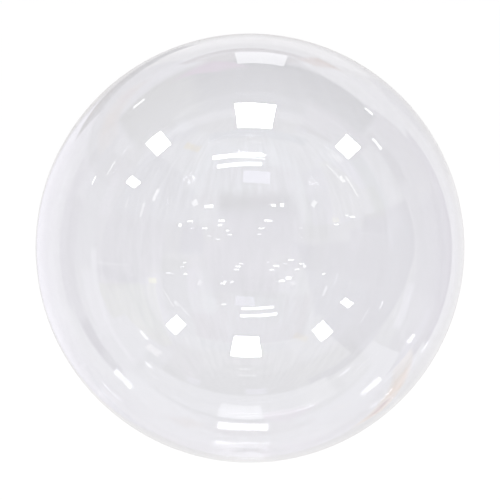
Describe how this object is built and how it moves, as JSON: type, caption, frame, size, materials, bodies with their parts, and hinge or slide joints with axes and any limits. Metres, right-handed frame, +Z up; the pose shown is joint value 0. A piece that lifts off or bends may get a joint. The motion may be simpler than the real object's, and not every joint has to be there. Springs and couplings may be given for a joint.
{
  "type": "clear bubble balloon",
  "caption": "Round balloon of clear glossy film, blown up tight, sealed, and lying on the small flat that its film makes on a level surface.",
  "frame": {"origin": "centre of the flat that the balloon rests on, at the bottom centre of its box", "axes": "+Z straight up through the balloon's centre, -Y towards the side seen in the picture"},
  "size_m": [0.5, 0.5, 0.4968],
  "materials": {
    "clear_film": "clear high gloss"
  },
  "bodies": {
    "root": {"film_envelope": "clear_film"}
  },
  "joints": []
}
